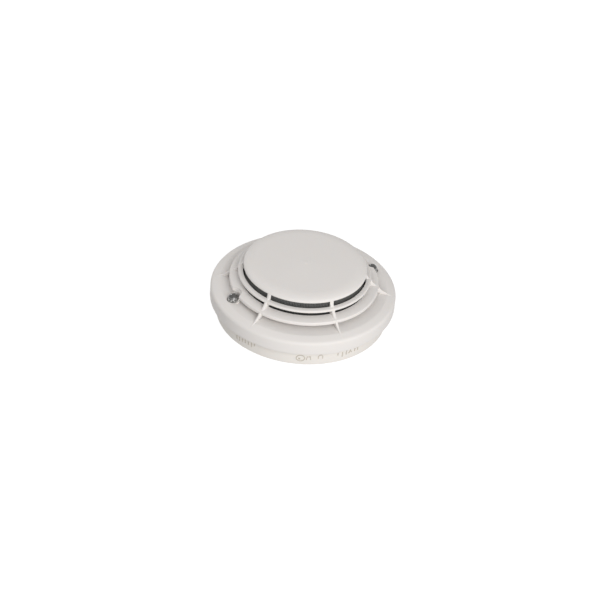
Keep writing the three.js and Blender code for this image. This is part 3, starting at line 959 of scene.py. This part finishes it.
dome = arc(LENS_RADIUS, LENS_TOP - SHELF - 0.1, 0, 90, 12, (0, SHELF + 0.1))
lens = turned([(0, DIODE_TOP + CLEARANCE), (LENS_RADIUS, DIODE_TOP + CLEARANCE), *dome], 64)
lamp_lenses = add_piece("lamp_lenses", shifted(lens, LAMP_RADIUS))
round_copies(lamp_lenses, LAMPS, LAMP_FIRST, finish=smoky_resin())
finished(lamp_lenses, "head", "lamp_lens", *numbered("lamp_lens", LAMPS))


# ----------
# The sensing chamber: a black cage with 24 windows stands on three feet under the cap. A screen of dark
# woven wire is wrapped round it to keep insects out.
cage_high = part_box("sensor_cage")[1]
CAGE_TOP = cage_high.z / MM
CAGE_OUTER, CAGE_INNER = 32.0, 30.6
CAGE_FLOOR_RADIUS = cage_high.x / MM
CAGE_FLOOR_BOTTOM = SHELF + 1
CAGE_FLOOR_TOP = CAGE_FLOOR_BOTTOM + 1.2
CAGE_WINDOWS = 24
WINDOW_BOTTOM = SHELF + 3.8
CAGE_FEET = 3
CAGE_FEET_RADIUS = 28.0
HOLDER_RADIUS = 6.0
HOLDER_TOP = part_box("sensor_holder")[1].z / MM
WIRE = 0.3
WIRES_ROUND = 240
SCREEN_RADIUS = 32.45

cage_black = moulded_black("cage_black", 0.012, 0.5)


def make_cage():
    cage = add_piece("vented_cage", turned([
        (CAGE_INNER, CAGE_FLOOR_TOP - 0.2), (CAGE_OUTER, CAGE_FLOOR_TOP - 0.2), (CAGE_OUTER, CAGE_TOP, 0.25),
        (CAGE_INNER, CAGE_TOP, 0.25),
    ], 144, 3), cage_black)
    window = rounded_block(6, 6.4, WINDOW_BOTTOM, CAGE_TOP - 0.8, 0.5)
    carved(cage, repeated(shifted(window, CAGE_INNER), CAGE_WINDOWS, 180 / CAGE_WINDOWS))
    inner = HOLDER_RADIUS + CLEARANCE
    joined(cage, turned([
        (inner, CAGE_FLOOR_BOTTOM, 0.2), (CAGE_FLOOR_RADIUS, CAGE_FLOOR_BOTTOM, 0.2),
        (CAGE_FLOOR_RADIUS, CAGE_FLOOR_TOP, 0.2), (inner, CAGE_FLOOR_TOP, 0.2),
    ], 144, 3))
    foot_top = CAGE_FLOOR_BOTTOM + 0.3
    foot = turned([(0, STANDING), (1.5, STANDING, 0.2), (1.5, foot_top), (0, foot_top)], 32)
    return joined(cage, repeated(shifted(foot, CAGE_FEET_RADIUS), CAGE_FEET, 60))


def wire_grey():
    """Dark oxidised wire, brighter where it has been rubbed."""
    finish = Finish("woven_wire", {"Metallic": 0.25, "Specular IOR Level": 0.3})
    rubbed = finish.noise(1.2, 3)
    colour = finish.blend(rubbed, (0.115, 0.115, 0.11), (0.19, 0.19, 0.185))
    return finish.wear(colour, 0.45 + 0.15 * rubbed)


def make_screen():
    bottom = CAGE_FLOOR_TOP + 0.4
    pitch = math.tau * SCREEN_RADIUS / WIRES_ROUND
    upright = shifted(rounded_block(WIRE, WIRE, bottom, CAGE_TOP, 0.06), SCREEN_RADIUS - 0.02)
    uprights = round_copies(add_piece("screen_uprights", upright), WIRES_ROUND)
    inner, outer = SCREEN_RADIUS - WIRE / 2, SCREEN_RADIUS + WIRE / 2
    over = bottom + WIRE
    hoop = turned([(inner, bottom), (outer, bottom), (outer, over), (inner, over)], WIRES_ROUND)
    count = int((CAGE_TOP - bottom) / pitch)
    hoops = round_copies(add_piece("screen_hoops", hoop), count, step=0, lift=pitch)
    return add_piece("wire_screen", gathered(as_solid(uprights), as_solid(hoops)), wire_grey())


finished(make_cage(), "head", "cage_black", "sensor_cage")
finished(make_screen(), "head", "screen_wire", "insect_screen")


# ----------
# The temperature sensors: two glass beads on stiff tinned leads, standing up in the air flow from an ivory
# holder in the middle of the cage.
BEAD_CENTRE = HOLDER_TOP + 5.9
BEAD_RADIUS = 1.3
LEAD_RADIUS = 0.3
LEAD_SPREAD = 0.7
SENSOR_OFFSET = 2.4

holder = turned([
    (0, STANDING), (HOLDER_RADIUS, STANDING, 0.3), (HOLDER_RADIUS, HOLDER_TOP - 1.7, 0.5),
    (HOLDER_RADIUS - 1.5, HOLDER_TOP, 0.5), (0, HOLDER_TOP),
], 96)
finished(add_piece("sensor_stand", holder, ivory_housing), "head", "ivory_plastic", "sensor_holder")


def bead_glass():
    finish = Finish("amber_bead", {"IOR": 1.5, "Coat Weight": 0.7, "Coat Roughness": 0.06})
    swirl = finish.noise(0.7, 3)
    return finish.wear(finish.blend(swirl, (0.24, 0.075, 0.02), (0.42, 0.16, 0.06)), 0.12 + 0.1 * swirl)


amber = bead_glass()
for number, x in enumerate((-SENSOR_OFFSET, SENSOR_OFFSET), 1):
    drop = arc(BEAD_RADIUS, BEAD_RADIUS, -56.25, 90, 13, (0, BEAD_CENTRE))
    tail = [(0, BEAD_CENTRE - BEAD_RADIUS - 0.5), (0.35, BEAD_CENTRE - BEAD_RADIUS - 0.35)]
    bead = add_piece(f"sensor_bead_{number}", moved(turned([*tail, *drop], 40), x, 0), amber)
    finished(bead, "head", "sensor_bead", f"thermistor_{number}")
    foot, head = HOLDER_TOP + CLEARANCE, BEAD_CENTRE - 0.9
    lead = [(0, foot), (LEAD_RADIUS, foot, 0.1), (LEAD_RADIUS, head, 0.1), (0, head)]
    wires = [moved(turned(lead, 16, 2), x, y) for y in (-LEAD_SPREAD, LEAD_SPREAD)]
    finished(add_piece(f"sensor_leads_{number}", gathered(*wires), zinc), "head", "plated_steel")


# ----------
# The front cover: one ivory moulding. A flat cap with a soft round edge, two louvre rings, and a shell whose
# shelf rolls over into a shoulder that slopes outward. Six ribs with hollow edges hold them together, and
# there is a round recess for each lamp, a gate mark on the cap, and snap hooks inside the skirt.
cover_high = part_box("front_cover")[1]
HEAD_RADIUS = cover_high.x / MM
TOP = cover_high.z / MM
CAP_RADIUS = 33.75
CAP_RIM = TOP - 2.9
SHELL_WALL = 1.6
CREST = 46.0
CREST_TOP = SHELF + 0.4
SHOULDER = SHELF - 1.15
SHELF_INNER = 37.0
ROUND_SIDES = 240
LAMP_COLLAR = LAMP_BORE + 0.8
LOWER_RING = {"inner": 35.0, "outer": 41.0, "bottom": SHELF + 3.1, "inner_top": SHELF + 5.8,
              "outer_top": SHELF + 5.05}
UPPER_RING = {"inner": 33.8, "outer": 36.5, "bottom": SHELF + 8.1, "inner_top": SHELF + 9.7,
              "outer_top": SHELF + 9.4}
RIBS = 6
RIB_INNER = 33.3
RIB_FOOT = 49.0
HOOKS = 4
HOOK_INNER = 48.2

ivory = ivory_moulding("ivory_cover", (0.81, 0.777, 0.75), (0.785, 0.752, 0.724))


def outer_shell():
    inner = HEAD_RADIUS - SHELL_WALL
    return turned([
        (inner, HEAD_FOOT, 0.25),
        (HEAD_RADIUS, HEAD_FOOT, 0.45),
        (HEAD_RADIUS, SHOULDER, 2.0),
        (CREST, CREST_TOP, 3.0),
        (SHELF_INNER, CREST_TOP + 0.25, 0.4),
        (SHELF_INNER, SHELF - SHELL_WALL, 0.3),
        (inner, SHELF - SHELL_WALL, 2.2),
    ], ROUND_SIDES, 8)


def cap():
    edge, rise = 7.0, TOP - CAP_RIM - 0.5
    rounding = arc(edge, rise, 0, 90, 16, (CAP_RADIUS - edge, CAP_RIM + 0.5))
    underside = [(0, CAP_RIM + 0.4), (CAP_RADIUS - 2, CAP_RIM + 0.4), (CAP_RADIUS - 1.6, CAP_RIM, 0.3),
                 (CAP_RADIUS, CAP_RIM, 0.3)]
    gate_mark = [(1.2, TOP, 0.1), (1.0, TOP + 0.12, 0.1), (0, TOP + 0.05)]
    return turned([*underside, *rounding, *gate_mark], ROUND_SIDES)


def louvre(inner, outer, bottom, inner_top, outer_top):
    """A ring that slopes outward, with a soft rounded lip."""
    return turned([
        (inner, bottom, 0.3),
        (outer, bottom, 0.3),
        (outer, outer_top, 0.7),
        (inner, inner_top, 0.3),
    ], ROUND_SIDES, 5)


def hollow(start, pull, end, amount):
    """A point on a curve that leaves start towards pull and arrives at end."""
    return start.lerp(pull, amount).lerp(pull.lerp(end, amount), amount)


def rib():
    """One rib, lofted from the cap down to its pointed foot on the shoulder, with a rounded outer edge."""
    on_upper = (UPPER_RING["outer"] + 0.1, UPPER_RING["bottom"] + 0.9)
    on_lower = (LOWER_RING["outer"] + 0.1, LOWER_RING["outer_top"] - 0.5)
    spans = [
        ((CAP_RADIUS - 0.1, CAP_RIM + 0.7), (CAP_RADIUS + 0.4, UPPER_RING["outer_top"]), on_upper),
        (on_upper, (UPPER_RING["outer"] + 1.2, UPPER_RING["bottom"] - 1.9), on_lower),
        (on_lower, (LOWER_RING["outer"] + 1.8, SHELF + 1.7), (RIB_FOOT, SHELF - 0.42)),
    ]
    inside = [(RIB_INNER, CAP_RIM + 0.9), (RIB_INNER, UPPER_RING["bottom"] - 0.2),
              (RIB_INNER + 1.2, LOWER_RING["bottom"] + 0.4), (RIB_FOOT - 2.4, SHELF - 1.0)]
    half_widths = (1.12, 1.0, 0.9, 0.35)
    steps = 9
    solid = bmesh.new()
    rows = []
    for number, span in enumerate(spans):
        for k in range(min(number, 1), steps + 1):
            amount = k / steps
            outer = hollow(*map(Vector, span), amount)
            inner = Vector(inside[number]).lerp(Vector(inside[number + 1]), amount)
            half = half_widths[number] + (half_widths[number + 1] - half_widths[number]) * amount
            outward = outer - inner
            depth = min(half, outward.length * 0.6)
            outward.normalize()
            shoulder = outer - outward * depth
            row = [(inner, -half), (shoulder, -half)]
            row += [(shoulder + outward * depth * math.cos(a), half * math.sin(a))
                    for a in [math.pi / 2 * s / 3 for s in range(-2, 3)]]
            row += [(shoulder, half), (inner, half)]
            rows.append([solid.verts.new((p.x, y, p.y)) for p, y in row])
    for row, following in zip(rows, rows[1:]):
        banded(solid, row, following)
    solid.faces.new(rows[0])
    solid.faces.new(rows[-1][::-1])
    return solid


def lamp_wall():
    """The wall of a lamp recess: flush with the shelf on its outer side, rising to the lower ring inside."""
    wall = plug(LAMP_COLLAR, SHELF - 1, LOWER_RING["outer_top"] - 0.4, 64)
    slope = Vector((1, 0, 1)).normalized()
    cut = bmesh.ops.bisect_plane(wall, geom=wall.verts[:] + wall.edges[:] + wall.faces[:],
                                 plane_co=(0, 0, CREST_TOP + 0.12), plane_no=slope, clear_outer=True)
    rim = [e for e in cut["geom_cut"] if isinstance(e, bmesh.types.BMEdge)]
    bmesh.ops.edgeloop_fill(wall, edges=rim)
    return wall


def snap_hooks():
    """Pairs of ledges inside the skirt that snap over the housing's flange."""
    skirt = HEAD_RADIUS - SHELL_WALL + 0.4
    upper_low = FLANGE_TOP + CLEARANCE
    hooks = [extruded(sector(HOOK_INNER, skirt, -6, 6), low, high)
             for low, high in ((HEAD_FOOT + 0.2, FLANGE_BOTTOM - CLEARANCE), (upper_low, upper_low + 0.8))]
    return repeated(gathered(*hooks), HOOKS)


def make_cover():
    cover = add_piece("cover_moulding", outer_shell(), ivory)
    joined(cover, gathered(repeated(rib(), RIBS), snap_hooks()))
    joined(cover, gathered(cap(), louvre(**LOWER_RING), louvre(**UPPER_RING)))

    def at_lamps(solid):
        return repeated(shifted(solid, LAMP_RADIUS), LAMPS, LAMP_FIRST)

    carved(cover, at_lamps(plug(LAMP_COLLAR, CREST_TOP + 0.2, TOP - 1, 64)))
    joined(cover, at_lamps(lamp_wall()))
    return carved(cover, at_lamps(plug(LAMP_BORE, SHELF - 4, TOP, 64)))


finished(make_cover(), "head", "ivory_plastic", "front_cover")
